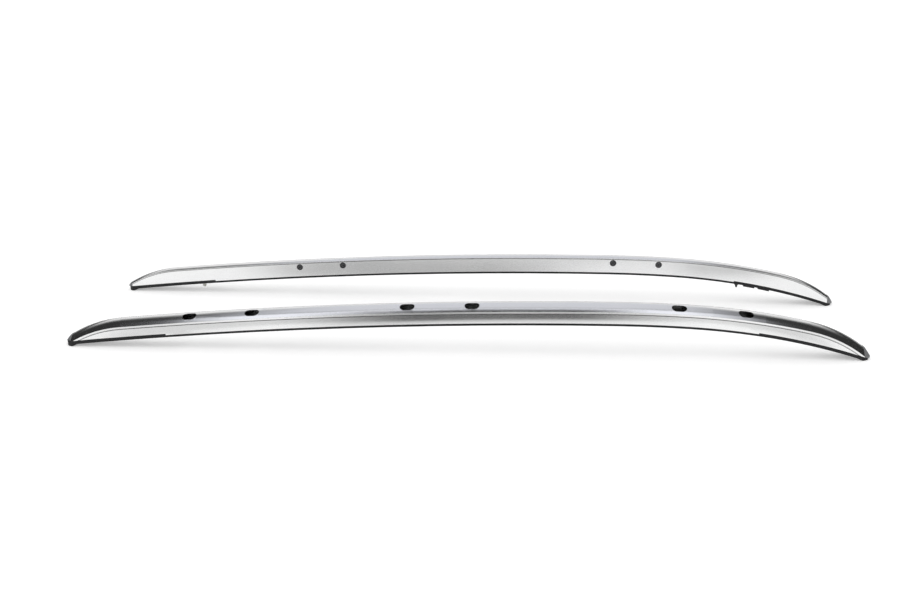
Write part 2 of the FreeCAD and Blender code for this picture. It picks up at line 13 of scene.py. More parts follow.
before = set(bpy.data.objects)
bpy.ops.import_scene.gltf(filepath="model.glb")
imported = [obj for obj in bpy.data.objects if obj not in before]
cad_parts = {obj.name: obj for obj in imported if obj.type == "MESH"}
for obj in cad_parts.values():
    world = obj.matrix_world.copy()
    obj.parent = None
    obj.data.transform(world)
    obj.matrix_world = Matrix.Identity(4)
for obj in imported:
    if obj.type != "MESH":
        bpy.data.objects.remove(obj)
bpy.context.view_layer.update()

log = logging.getLogger("side_rails")

Colour = tuple[float, float, float]
Feed = Union[float, tuple, bpy.types.NodeSocket]

WHITE: Colour = (1.0, 1.0, 1.0)
COOL_LIGHT: Colour = (0.92, 0.935, 1.0)


class Side(Enum):
    """The two rails of the pair, with the first word of the names of their pieces."""

    RIGHT = "right"
    LEFT = "left"


class Station(Enum):
    """Places along a rail, with their word in the names of pieces."""

    REAR = "rear"
    CENTRE = "centre"
    FRONT = "front"


@dataclass
class NodeTree:
    """A node tree that is filled by short calls.

    Args:
        tree: the shader node tree or node group to fill.
    """

    tree: bpy.types.NodeTree

    def add(self, kind: str, settings: Optional[dict] = None, **inputs: Feed) -> bpy.types.Node:
        """Add a node, with its settings and its input sockets filled.

        Args:
            kind: the node's type name.
            settings: attributes of the node to set before its inputs.
            inputs: values or sockets by input name, with an underscore for a space.

        Returns:
            The new node.
        """
        node = self.tree.nodes.new(kind)
        for name, value in (settings or {}).items():
            setattr(node, name, value)
        for name, value in inputs.items():
            self.feed(node, name.replace("_", " "), value)
        return node

    def feed(self, node: bpy.types.Node, name: Union[str, int], value: Feed) -> None:
        """Link a socket into a node's input, or set the input's own value.

        Args:
            node: the node that takes the value.
            name: the input's name or number.
            value: a socket to link, or a number or tuple to set.
        """
        if isinstance(value, bpy.types.NodeSocket):
            self.tree.links.new(value, node.inputs[name])
        else:
            node.inputs[name].default_value = value

    def maths(self, operation: str, first: Feed, second: Feed = 0.0) -> bpy.types.NodeSocket:
        """Combine two numbers.

        Args:
            operation: the Math node's operation.
            first: the first number.
            second: the second number.

        Returns:
            The socket that carries the result.
        """
        node = self.add("ShaderNodeMath", {"operation": operation})
        self.feed(node, 0, first)
        self.feed(node, 1, second)
        return node.outputs[0]

    def mix(self, factor: Feed, first: Feed, second: Feed) -> bpy.types.NodeSocket:
        """Mix two colours by a factor.

        Args:
            factor: 0 for the first colour, 1 for the second.
            first: colour with alpha, or a socket.
            second: colour with alpha, or a socket.

        Returns:
            The socket that carries the colour.
        """
        node = self.add("ShaderNodeMix", {"data_type": "RGBA"})
        self.feed(node, 0, factor)
        self.feed(node, 6, first)
        self.feed(node, 7, second)
        return node.outputs[2]

    def span(self, value: Feed, low: Feed, high: Feed) -> bpy.types.NodeSocket:
        """Carry a value from 0..1 to low..high.

        Args:
            value: the number to carry over.
            low: result at 0.
            high: result at 1.

        Returns:
            The socket that carries the result.
        """
        node = self.add("ShaderNodeMapRange", {"clamp": True})
        self.feed(node, "Value", value)
        self.feed(node, "To Min", low)
        self.feed(node, "To Max", high)
        return node.outputs[0]

    def smooth(self, value: Feed, low: Feed, high: Feed) -> bpy.types.NodeSocket:
        """Smooth step of a value between two edges.

        Args:
            value: the number to step.
            low: edge that gives 0.
            high: edge that gives 1.

        Returns:
            The socket that carries the result.
        """
        node = self.add("ShaderNodeMapRange", {"clamp": True, "interpolation_type": "SMOOTHSTEP"})
        self.feed(node, "Value", value)
        self.feed(node, "From Min", low)
        self.feed(node, "From Max", high)
        return node.outputs[0]


def rgba(colour: Colour) -> tuple[float, float, float, float]:
    """The colour with full alpha."""
    return (*colour, 1.0)


def new_group(name: str, inputs: dict[str, float],
              outputs: dict[str, str]) -> tuple[bpy.types.NodeTree, NodeTree]:
    """Make an empty shader node group with named sockets.

    Args:
        name: the group's name.
        inputs: number inputs and their usual values.
        outputs: output names and their socket types.

    Returns:
        The group and a filler for it.
    """
    group = bpy.data.node_groups.new(name, "ShaderNodeTree")
    for label, value in inputs.items():
        socket = group.interface.new_socket(label, in_out="INPUT", socket_type="NodeSocketFloat")
        socket.default_value = value
    for label, kind in outputs.items():
        group.interface.new_socket(label, in_out="OUTPUT", socket_type=kind)
    return group, NodeTree(group)


class Effects:
    """Shader node groups that several finishes share, each made once."""

    _made: dict[str, bpy.types.NodeTree] = {}

    middle: float = 0.5
    pit_density: float = 0.35
    pit_edge: float = 0.28
    pit_core: float = 0.12
    flat_dot: float = 0.995
    worn_dot: float = 0.85
    bevel_samples: int = 6

    @classmethod
    def get(cls, name: str) -> bpy.types.NodeTree:
        """Look up a group, and make it on its first use.

        Args:
            name: the effect's name.

        Returns:
            The node group.
        """
        if name not in cls._made:
            cls._made[name] = getattr(cls, "_" + name)()
        return cls._made[name]

    @staticmethod
    def _drawn_lines() -> bpy.types.NodeTree:
        """Fine lines that a die leaves along an extrusion.

        Returns:
            A group with inputs Fineness and Stretch and output Lines, 0 to 1.
        """
        group, nodes = new_group(
            "drawn_lines", {"Fineness": 900.0, "Stretch": 60.0}, {"Lines": "NodeSocketFloat"})
        inlet = nodes.add("NodeGroupInput")
        place = nodes.add("ShaderNodeTexCoord")
        along = nodes.maths("DIVIDE", inlet.outputs["Fineness"], inlet.outputs["Stretch"])
        across = nodes.add("ShaderNodeCombineXYZ", X=along, Y=inlet.outputs["Fineness"],
                           Z=inlet.outputs["Fineness"])
        scaled = nodes.add("ShaderNodeMapping", Vector=place.outputs["Object"],
                           Scale=across.outputs[0])
        noise = nodes.add("ShaderNodeTexNoise", Vector=scaled.outputs[0], Scale=1.0, Detail=3.0,
                          Roughness=0.6)
        outlet = nodes.add("NodeGroupOutput")
        nodes.feed(outlet, "Lines", noise.outputs["Fac"])
        return group

    @staticmethod
    def _clouding() -> bpy.types.NodeTree:
        """Broad soft patches, as of handling and uneven finish.

        Returns:
            A group with inputs Size and Contrast and output Patches, 0 to 1.
        """
        group, nodes = new_group(
            "clouding", {"Size": 0.08, "Contrast": 1.0}, {"Patches": "NodeSocketFloat"})
        inlet = nodes.add("NodeGroupInput")
        place = nodes.add("ShaderNodeTexCoord")
        scale = nodes.maths("DIVIDE", 1.0, inlet.outputs["Size"])
        noise = nodes.add("ShaderNodeTexNoise", Vector=place.outputs["Object"], Scale=scale,
                          Detail=4.0, Roughness=0.55)
        centred = nodes.maths("SUBTRACT", noise.outputs["Fac"], Effects.middle)
        spread = nodes.maths("MULTIPLY", centred, inlet.outputs["Contrast"])
        outlet = nodes.add("NodeGroupOutput")
        nodes.feed(outlet, "Patches", nodes.maths("ADD", spread, Effects.middle))
        return group

    @staticmethod
    def _speckle() -> bpy.types.NodeTree:
        """Fine grain of a moulded, cast or blasted surface.

        Returns:
            A group with input Size and outputs Grain, 0 to 1, and Pits, a mask of sparse dots.
        """
        group, nodes = new_group(
            "speckle", {"Size": 0.0006}, {"Grain": "NodeSocketFloat", "Pits": "NodeSocketFloat"})
        inlet = nodes.add("NodeGroupInput")
        place = nodes.add("ShaderNodeTexCoord")
        scale = nodes.maths("DIVIDE", 1.0, inlet.outputs["Size"])
        noise = nodes.add("ShaderNodeTexNoise", Vector=place.outputs["Object"], Scale=scale,
                          Detail=2.0, Roughness=0.5)
        sparse = nodes.maths("MULTIPLY", scale, Effects.pit_density)
        cells = nodes.add("ShaderNodeTexVoronoi", Vector=place.outputs["Object"], Scale=sparse)
        outlet = nodes.add("NodeGroupOutput")
        nodes.feed(outlet, "Grain", noise.outputs["Fac"])
        nodes.feed(outlet, "Pits", nodes.smooth(cells.outputs["Distance"], Effects.pit_edge,
                                                Effects.pit_core))
        return group

    @staticmethod
    def _edges() -> bpy.types.NodeTree:
        """Softened edges and a mask along them, for wear, for a painted glint and for a rounded look.

        Returns:
            A group with input Radius and outputs Normal and Wear, 0 away from edges.
        """
        group, nodes = new_group(
            "edges", {"Radius": 0.0006}, {"Normal": "NodeSocketVector", "Wear": "NodeSocketFloat"})
        inlet = nodes.add("NodeGroupInput")
        bevel = nodes.add("ShaderNodeBevel", {"samples": Effects.bevel_samples},
                          Radius=inlet.outputs["Radius"])
        geometry = nodes.add("ShaderNodeNewGeometry")
        dot = nodes.add("ShaderNodeVectorMath", {"operation": "DOT_PRODUCT"})
        nodes.feed(dot, 0, bevel.outputs[0])
        nodes.feed(dot, 1, geometry.outputs["Normal"])
        outlet = nodes.add("NodeGroupOutput")
        nodes.feed(outlet, "Normal", bevel.outputs[0])
        nodes.feed(outlet, "Wear", nodes.smooth(dot.outputs["Value"], Effects.flat_dot,
                                                Effects.worn_dot))
        return group


def place_group(nodes: NodeTree, effect: str, **inputs: Feed) -> bpy.types.Node:
    """Put a shared effect into a material.

    Args:
        nodes: the material's filler.
        effect: the effect's name.
        inputs: its values.

    Returns:
        The group node.
    """
    return nodes.add("ShaderNodeGroup", {"node_tree": Effects.get(effect)}, **inputs)


def start_material(name: str) -> tuple[bpy.types.Material, NodeTree, bpy.types.Node]:
    """Make a material with a Principled shader.

    Args:
        name: the material's name.

    Returns:
        The material, a filler for its tree and the shader node.
    """
    material = bpy.data.materials.new(name)
    material.use_nodes = True
    return material, NodeTree(material.node_tree), material.node_tree.nodes["Principled BSDF"]


@dataclass(frozen=True)
class AnodisedAluminium:
    """Satin anodised extrusion: pale metal with drawn lines, a slightly uneven sheen and painted
    shade in its grooves.

    Args:
        name: the material's name.
        colour: colour of the paler patches.
        darker: colour of the darker patches and of the drawn lines.
        roughness: mean roughness.
        roughness_spread: how far patches and lines change it, up and down.
        line_fineness: lines for each metre across the rail, roughly.
        line_stretch: length of a line in line widths.
        line_height: strength of the lines' relief.
        line_depth: depth of the lines' relief, in metres.
        line_tone: how far the lines darken the colour.
        line_share: the lines' part in the roughness, beside the patches.
        cloud_size: size of the patches, in metres.
        cloud_contrast: contrast of the patches.
        edge_radius: radius of the long edges, in metres.
        crevice_reach: how far a crevice's walls may lie apart, in metres.
        painted_shade_colour: colour of the shade painted into the grooves and inner corners.
        crevice_shade: how far that painted shade covers them.
        crevice_from: openness at which the shade starts.
        crevice_full: openness at which it is full.
        crevice_samples: rays that measure the openness.
    """

    name: str = "anodised_aluminium"
    colour: Colour = (0.90, 0.90, 0.895)
    darker: Colour = (0.83, 0.835, 0.84)
    roughness: float = 0.19
    roughness_spread: float = 0.05
    line_fineness: float = 1400.0
    line_stretch: float = 90.0
    line_height: float = 0.012
    line_depth: float = 0.001
    line_tone: float = 0.10
    line_share: float = 0.4
    cloud_size: float = 0.12
    cloud_contrast: float = 1.2
    edge_radius: float = 0.0005
    crevice_reach: float = 0.004
    # Painted shade in grooves and inner corners, set by how closed they are:
    painted_shade_colour: Colour = (0.05, 0.05, 0.05)
    crevice_shade: float = 0.8
    crevice_from: float = 0.85
    crevice_full: float = 0.35
    crevice_samples: int = 8

    def build(self) -> bpy.types.Material:
        """Make the material.

        Returns:
            The finished material.
        """
        material, nodes, shader = start_material(self.name)
        lines = place_group(nodes, "drawn_lines", Fineness=self.line_fineness,
                            Stretch=self.line_stretch)
        clouds = place_group(nodes, "clouding", Size=self.cloud_size,
                             Contrast=self.cloud_contrast)
        edges = place_group(nodes, "edges", Radius=self.edge_radius)
        tone = nodes.mix(clouds.outputs["Patches"], rgba(self.darker), rgba(self.colour))
        brushed = nodes.mix(nodes.span(lines.outputs["Lines"], 0.0, self.line_tone), tone,
                            rgba(self.darker))
        # Painted shade: grooves and inner corners darken by how closed they are.
        nodes.feed(shader, "Base Color", nodes.mix(
            self.painted_crevice_shade(nodes), brushed, rgba(self.painted_shade_colour)))
        nodes.feed(shader, "Metallic", 1.0)
        sheen = nodes.maths(
            "ADD", nodes.maths("MULTIPLY", clouds.outputs["Patches"], 1.0 - self.line_share),
            nodes.maths("MULTIPLY", lines.outputs["Lines"], self.line_share))
        nodes.feed(shader, "Roughness", nodes.span(
            sheen, self.roughness - self.roughness_spread, self.roughness + self.roughness_spread))
        bump = nodes.add("ShaderNodeBump", Strength=self.line_height, Distance=self.line_depth,
                         Height=lines.outputs["Lines"], Normal=self.long_edges(nodes, edges))
        nodes.feed(shader, "Normal", bump.outputs[0])
        return material

    def painted_crevice_shade(self, nodes: NodeTree) -> bpy.types.NodeSocket:
        """Mask of the shade painted into the grooves and inner corners, stronger where they are more
        closed.

        Args:
            nodes: the material's filler.

        Returns:
            The socket that carries the mask.
        """
        openness = nodes.add(
            "ShaderNodeAmbientOcclusion", {"samples": self.crevice_samples, "only_local": True},
            Distance=self.crevice_reach)
        closed = nodes.smooth(openness.outputs["AO"], self.crevice_from, self.crevice_full)
        return nodes.maths("MULTIPLY", closed, self.crevice_shade)

    @staticmethod
    def long_edges(nodes: NodeTree, edges: bpy.types.Node) -> bpy.types.NodeSocket:
        """Keep the rounding of edges that run along the rail, and no line across it.

        Args:
            nodes: the material's filler.
            edges: the node that rounds every edge.

        Returns:
            The socket that carries the normal.
        """
        flat = nodes.add("ShaderNodeNewGeometry")
        along = nodes.add("ShaderNodeSeparateXYZ", Vector=flat.outputs["Normal"])
        round_off = nodes.add("ShaderNodeSeparateXYZ", Vector=edges.outputs["Normal"])
        joined = nodes.add("ShaderNodeCombineXYZ", X=along.outputs["X"], Y=round_off.outputs["Y"],
                           Z=round_off.outputs["Z"])
        unit = nodes.add("ShaderNodeVectorMath", {"operation": "NORMALIZE"})
        nodes.feed(unit, 0, joined.outputs[0])
        return unit.outputs["Vector"]


@dataclass(frozen=True)
class MouldedPlastic:
    """Moulded plastic with a fine grain and slightly paler edges.

    Args:
        name: the material's name.
        colour: colour of the body.
        edge_colour: colour of worn edges and, faintly, of patches.
        roughness: usual roughness.
        smoother: how far patches go below it.
        rougher: how far patches go above it.
        patch_size: size of the patches, in metres.
        patch_contrast: contrast of the patches.
        patch_share: how far the edge colour shows in the patches.
        wear: how far the edge colour shows at the edges.
        grain_size: size of the grain, in metres.
        grain_height: strength of the grain's relief.
        grain_depth: depth of the grain's relief, in metres.
        edge_radius: radius of the edges, in metres.
        see_in: how much light enters the plastic.
        see_in_reach: how far red, green and blue light go in it, in metres.
    """

    name: str
    colour: Colour
    edge_colour: Colour
    roughness: float = 0.42
    smoother: float = 0.05
    rougher: float = 0.07
    patch_size: float = 0.03
    patch_contrast: float = 1.0
    patch_share: float = 0.25
    wear: float = 0.5
    grain_size: float = 0.0005
    grain_height: float = 0.15
    grain_depth: float = 0.0002
    edge_radius: float = 0.0007
    see_in: float = 0.0
    see_in_reach: Colour = (0.003, 0.003, 0.0028)

    def build(self) -> bpy.types.Material:
        """Make the material.

        Returns:
            The finished material.
        """
        material, nodes, shader = start_material(self.name)
        grain = place_group(nodes, "speckle", Size=self.grain_size)
        clouds = place_group(nodes, "clouding", Size=self.patch_size, Contrast=self.patch_contrast)
        edges = place_group(nodes, "edges", Radius=self.edge_radius)
        body = nodes.mix(nodes.span(clouds.outputs["Patches"], 0.0, self.patch_share),
                         rgba(self.colour), rgba(self.edge_colour))
        worn = nodes.mix(nodes.span(edges.outputs["Wear"], 0.0, self.wear), body,
                         rgba(self.edge_colour))
        nodes.feed(shader, "Base Color", worn)
        nodes.feed(shader, "Roughness", nodes.span(
            clouds.outputs["Patches"], self.roughness - self.smoother,
            self.roughness + self.rougher))
        if self.see_in:
            nodes.feed(shader, "Subsurface Weight", self.see_in)
            nodes.feed(shader, "Subsurface Radius", self.see_in_reach)
        bump = nodes.add("ShaderNodeBump", Strength=self.grain_height, Distance=self.grain_depth,
                         Height=grain.outputs["Grain"], Normal=edges.outputs["Normal"])
        nodes.feed(shader, "Normal", bump.outputs[0])
        return material


@dataclass(frozen=True)
class Rubber:
    """Matt black rubber with a faint bloom and tiny pits.

    Args:
        name: the material's name.
        colour: colour of clean rubber.
        bloom: colour of the greyish bloom.
        bloom_share: how far the bloom shows in patches.
        wear: how far the bloom shows at the edges.
        roughness: usual roughness.
        smoother: how far the grain goes below it.
        rougher: how far the grain goes above it.
        shine: strength of the mirrored light.
        patch_size: size of the patches, in metres.
        patch_contrast: contrast of the patches.
        grain_size: size of the grain, in metres.
        grain_height: strength of the grain's relief.
        grain_depth: depth of the grain's relief, in metres.
        pit_depth: depth of the pits beside the grain's.
        edge_radius: radius of the edges, in metres.
    """

    name: str = "black_rubber"
    colour: Colour = (0.010, 0.010, 0.011)
    bloom: Colour = (0.034, 0.034, 0.036)
    bloom_share: float = 0.4
    wear: float = 0.35
    roughness: float = 0.62
    smoother: float = 0.08
    rougher: float = 0.1
    shine: float = 0.35
    patch_size: float = 0.02
    patch_contrast: float = 1.6
    grain_size: float = 0.0007
    grain_height: float = 0.3
    grain_depth: float = 0.0002
    pit_depth: float = 0.4
    edge_radius: float = 0.0008

    def build(self) -> bpy.types.Material:
        """Make the material.

        Returns:
            The finished material.
        """
        material, nodes, shader = start_material(self.name)
        grain = place_group(nodes, "speckle", Size=self.grain_size)
        clouds = place_group(nodes, "clouding", Size=self.patch_size, Contrast=self.patch_contrast)
        edges = place_group(nodes, "edges", Radius=self.edge_radius)
        tone = nodes.mix(nodes.span(clouds.outputs["Patches"], 0.0, self.bloom_share),
                         rgba(self.colour), rgba(self.bloom))
        nodes.feed(shader, "Base Color", nodes.mix(
            nodes.span(edges.outputs["Wear"], 0.0, self.wear), tone, rgba(self.bloom)))
        nodes.feed(shader, "Roughness", nodes.span(
            grain.outputs["Grain"], self.roughness - self.smoother, self.roughness + self.rougher))
        nodes.feed(shader, "Specular IOR Level", self.shine)
        height = nodes.maths("SUBTRACT", grain.outputs["Grain"],
                             nodes.maths("MULTIPLY", grain.outputs["Pits"], self.pit_depth))
        bump = nodes.add("ShaderNodeBump", Strength=self.grain_height, Distance=self.grain_depth,
                         Height=height, Normal=edges.outputs["Normal"])
        nodes.feed(shader, "Normal", bump.outputs[0])
        return material


@dataclass(frozen=True)
class PlainMetal:
    """Cast, plated or blackened metal with grain, tone patches and worn edges, which on the blackened
    metal also carry a painted glint.

    Args:
        name: the material's name.
        colour: colour between the patches.
        patch: colour of the patches.
        edge_wear_and_glint: colour of the worn edges, which on the black steel is also a painted
            glint.
        roughness: usual roughness.
        metallic: 1 for bare metal, less under a coating.
        smoother: how far the grain goes below the usual roughness.
        rougher: how far the grain goes above it.
        wear: how far that edge colour shows along the edges.
        grain_size: size of the grain, in metres.
        grain_height: strength of the grain's relief.
        grain_depth: depth of the grain's relief, in metres.
        patch_size: size of the patches, in metres.
        patch_contrast: contrast of the patches.
        edge_radius: radius of the edges, in metres.
    """

    name: str
    colour: Colour
    patch: Colour
    edge_wear_and_glint: Colour
    roughness: float
    metallic: float = 1.0
    smoother: float = 0.06
    rougher: float = 0.08
    wear: float = 0.7
    grain_size: float = 0.0008
    grain_height: float = 0.25
    grain_depth: float = 0.0003
    patch_size: float = 0.02
    patch_contrast: float = 1.5
    edge_radius: float = 0.0006

    def build(self) -> bpy.types.Material:
        """Make the material.

        Returns:
            The finished material.
        """
        material, nodes, shader = start_material(self.name)
        grain = place_group(nodes, "speckle", Size=self.grain_size)
        clouds = place_group(nodes, "clouding", Size=self.patch_size, Contrast=self.patch_contrast)
        edges = place_group(nodes, "edges", Radius=self.edge_radius)
        tone = nodes.mix(clouds.outputs["Patches"], rgba(self.colour), rgba(self.patch))
        # Edges take the paler edge colour: real wear, and on the black steel also a painted glint.
        nodes.feed(shader, "Base Color", nodes.mix(
            nodes.span(edges.outputs["Wear"], 0.0, self.wear), tone, rgba(self.edge_wear_and_glint)))
        nodes.feed(shader, "Metallic", self.metallic)
        nodes.feed(shader, "Roughness", nodes.span(
            grain.outputs["Grain"], self.roughness - self.smoother, self.roughness + self.rougher))
        bump = nodes.add("ShaderNodeBump", Strength=self.grain_height, Distance=self.grain_depth,
                         Height=grain.outputs["Grain"], Normal=edges.outputs["Normal"])
        nodes.feed(shader, "Normal", bump.outputs[0])
        return material


class Finishes:
    """All finishes of the pair, each built once and named after its slot."""

    def __init__(self) -> None:
        """Build every finish."""
        self.aluminium = AnodisedAluminium().build()
        self.cap = MouldedPlastic("dark_grey_plastic", (0.17, 0.172, 0.178), (0.34, 0.34, 0.345),
                                  roughness=0.34).build()
        self.black = MouldedPlastic("black_plastic", (0.02, 0.02, 0.021), (0.06, 0.06, 0.06)).build()
        self.nylon = MouldedPlastic("natural_nylon", (0.80, 0.79, 0.75), (0.86, 0.85, 0.82),
                                    roughness=0.45, see_in=0.25).build()
        self.rubber = Rubber().build()
        # The cast grey is darker than bare cast metal: partly painted shade for the dark inside of
        # the rail's slots.
        self.cast = PlainMetal("cast_aluminium", (0.34, 0.34, 0.345), (0.26, 0.26, 0.265),
                               (0.60, 0.60, 0.60), roughness=0.5).build()
        self.zinc = PlainMetal("zinc_steel", (0.58, 0.58, 0.56), (0.46, 0.47, 0.48),
                               (0.70, 0.70, 0.69), roughness=0.34, grain_height=0.1).build()
        # The black steel's pale edge colour is real wear at the socket edges together with a painted
        # glint.
        self.black_steel = PlainMetal("black_steel", (0.045, 0.045, 0.047), (0.08, 0.08, 0.083),
                                      (0.55, 0.55, 0.55), roughness=0.40, metallic=0.7,
                                      grain_height=0.1).build()


def dress(node: str, material: bpy.types.Material) -> None:
    """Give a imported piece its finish.

    Args:
        node: the piece's name.
        material: the finish that goes into every slot of it.
    """
    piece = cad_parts[node]
    for slot in piece.material_slots:
        slot.material = material
    log.info("%s takes %s", node, material.name)


@dataclass
class RoofRail:
    """One rail with its seal, pads, caps, feet and fixing points.

    Args:
        side: which rail of the pair it is.
        finishes: the finishes that its pieces take.
        ends: where caps, pads and fixing points for crossbars lie.
        pale_rings: the foot whose spacer rings are of pale nylon.
    """

    side: Side
    finishes: Finishes
    ends: tuple[Station, ...] = (Station.REAR, Station.FRONT)
    pale_rings: Station = Station.REAR

    def node(self, name: str) -> str:
        """Full name of one of this rail's pieces."""
        return f"{self.side.value}_{name}"

    def build(self) -> None:
        """Dress every piece of the rail."""
        self.dress_body()
        self.dress_ends()
        self.dress_feet()
        self.dress_fixings()

    def dress_body(self) -> None:
        """Dress the extrusion and the seal below it."""
        dress(self.node("rail"), self.finishes.aluminium)
        dress(self.node("base_seal"), self.finishes.rubber)

    def dress_ends(self) -> None:
        """Dress the caps, their screws, the pads and the locating pieces."""
        for end in self.ends:
            dress(self.node(f"{end.value}_end_cap"), self.finishes.cap)
            dress(self.node(f"{end.value}_cap_screw"), self.finishes.zinc)
            dress(self.node(f"{end.value}_foot_pad"), self.finishes.rubber)
        dress(self.node("front_locating_peg"), self.finishes.black)
        dress(self.node("rear_locating_clip"), self.finishes.nylon)

    def dress_feet(self) -> None:
        """Dress the mounting feet and their spacer rings."""
        for place in Station:
            dress(self.node(f"{place.value}_mounting_foot"), self.finishes.cast)
            rings = self.finishes.nylon if place is self.pale_rings else self.finishes.black
            dress(self.node(f"{place.value}_foot_spacers"), rings)

    def dress_fixings(self) -> None:
        """Dress the threaded plates and the screws of the crossbar fixing points."""
        for end in self.ends:
            dress(self.node(f"{end.value}_crossbar_plate"), self.finishes.zinc)
            dress(self.node(f"{end.value}_crossbar_screws"), self.finishes.black_steel)


def linked(mesh: bmesh.types.BMesh, name: str) -> bpy.types.Object:
    """Turn a bmesh into an object of the scene.

    Args:
        mesh: the bmesh, which is freed.
        name: the object's name.

    Returns:
        The new object.
    """
    data = bpy.data.meshes.new(name)
    mesh.to_mesh(data)
    mesh.free()
    piece = bpy.data.objects.new(name, data)
    bpy.context.scene.collection.objects.link(piece)
    return piece


@dataclass(frozen=True)
class Ramp:
    """Soft band along one axis.

    Args:
        start: where it begins, in metres.
        full_from: where it reaches its full strength.
        full_to: where it starts to fade.
        end: where it is gone.
    """

    start: float
    full_from: float
    full_to: float
    end: float

    def mask(self, nodes: NodeTree, value: bpy.types.NodeSocket) -> bpy.types.NodeSocket:
        """Mask of the band, from 0 to 1.

        Args:
            nodes: the material's filler.
            value: the socket that carries the place along the axis.

        Returns:
            The socket that carries the mask.
        """
        rise = nodes.smooth(value, self.start, self.full_from)
        fall = nodes.smooth(value, self.end, self.full_to)
        return nodes.maths("MULTIPLY", rise, fall)


@dataclass(frozen=True)
class Sheet:
    """Level sheet with soft edges, unseen by the camera: a light, or a card that paints a darker
    reflection.

    Args:
        name: the name of the object and of its material.
        height: its height above the floor, in metres.
        along: its extent and fading along X.
        across: its extent and fading along Y.
        strength: how bright it is.
        lights: whether it lights the scene or shows in reflections only.
        mirrored: the colour in which reflections show it.
    """

    name: str
    height: float
    along: Ramp
    across: Ramp
    strength: float
    lights: bool = True
    mirrored: Colour = WHITE

    def build(self) -> bpy.types.Object:
        """Make the sheet and put it on the stage, out of the export.

        Returns:
            The sheet's object.
        """
        ramps = (self.along, self.across)
        centre = Vector(((ramp.start + ramp.end) / 2 for ramp in ramps)).to_3d()
        centre.z = self.height
        size = Vector((ramp.end - ramp.start for ramp in ramps)).to_3d()
        mesh = bmesh.new()
        bmesh.ops.create_grid(mesh, x_segments=1, y_segments=1, size=0.5)
        bmesh.ops.scale(mesh, vec=size, verts=mesh.verts)
        flip = Matrix.Rotation(math.pi if self.lights else 0.0, 4, "X")
        bmesh.ops.transform(mesh, matrix=Matrix.Translation(centre) @ flip, verts=mesh.verts)
        sheet = linked(mesh, self.name)
        sheet.visible_camera = False
        if not self.lights:
            sheet.visible_diffuse = False
            sheet.visible_shadow = False
        sheet.data.materials.append(self.glow())
        return sheet

    def glow(self) -> bpy.types.Material:
        """Make the sheet's material, which fades towards its edges.

        Returns:
            The glowing material.
        """
        material = bpy.data.materials.new(self.name)
        material.use_nodes = True
        nodes = NodeTree(material.node_tree)
        material.node_tree.nodes.remove(material.node_tree.nodes["Principled BSDF"])
        coords = nodes.add("ShaderNodeTexCoord")
        split = nodes.add("ShaderNodeSeparateXYZ", Vector=coords.outputs["Object"])
        mask = nodes.maths("MULTIPLY", self.along.mask(nodes, split.outputs["X"]),
                           self.across.mask(nodes, split.outputs["Y"]))
        path = nodes.add("ShaderNodeLightPath")
        tint = nodes.mix(path.outputs["Is Glossy Ray"], rgba(WHITE), rgba(self.mirrored))
        light = nodes.add("ShaderNodeEmission", Color=tint, Strength=self.strength)
        clear = nodes.add("ShaderNodeBsdfTransparent")
        blend = nodes.add("ShaderNodeMixShader", Fac=mask)
        nodes.feed(blend, 1, clear.outputs[0])
        nodes.feed(blend, 2, light.outputs[0])
        nodes.feed(nodes.tree.nodes["Material Output"], "Surface", blend.outputs[0])
        return material


